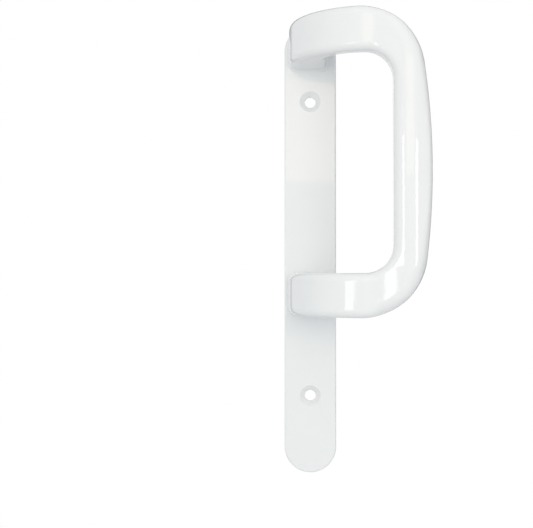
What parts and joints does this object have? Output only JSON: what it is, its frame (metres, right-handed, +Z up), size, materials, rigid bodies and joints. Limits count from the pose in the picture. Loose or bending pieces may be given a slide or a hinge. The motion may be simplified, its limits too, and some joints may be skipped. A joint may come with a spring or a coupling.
{
  "type": "sliding patio door pull handle",
  "caption": "Offset D-shaped pull handle on a long round-ended backplate, screwed to the stile of a sliding patio door to pull it open.",
  "frame": {"origin": "centre of the backplate's back face, midway between the two screw holes", "axes": "+Z up along the backplate, +Y into the door, out of the plate's back, and +X towards the side that the grip is offset to, right as the user faces the door"},
  "size_m": [0.0743, 0.0677, 0.243],
  "materials": {
    "white_coating": "gloss white powder coat on a metal casting"
  },
  "bodies": {
    "root": {"pull_handle": "white_coating"}
  },
  "joints": []
}
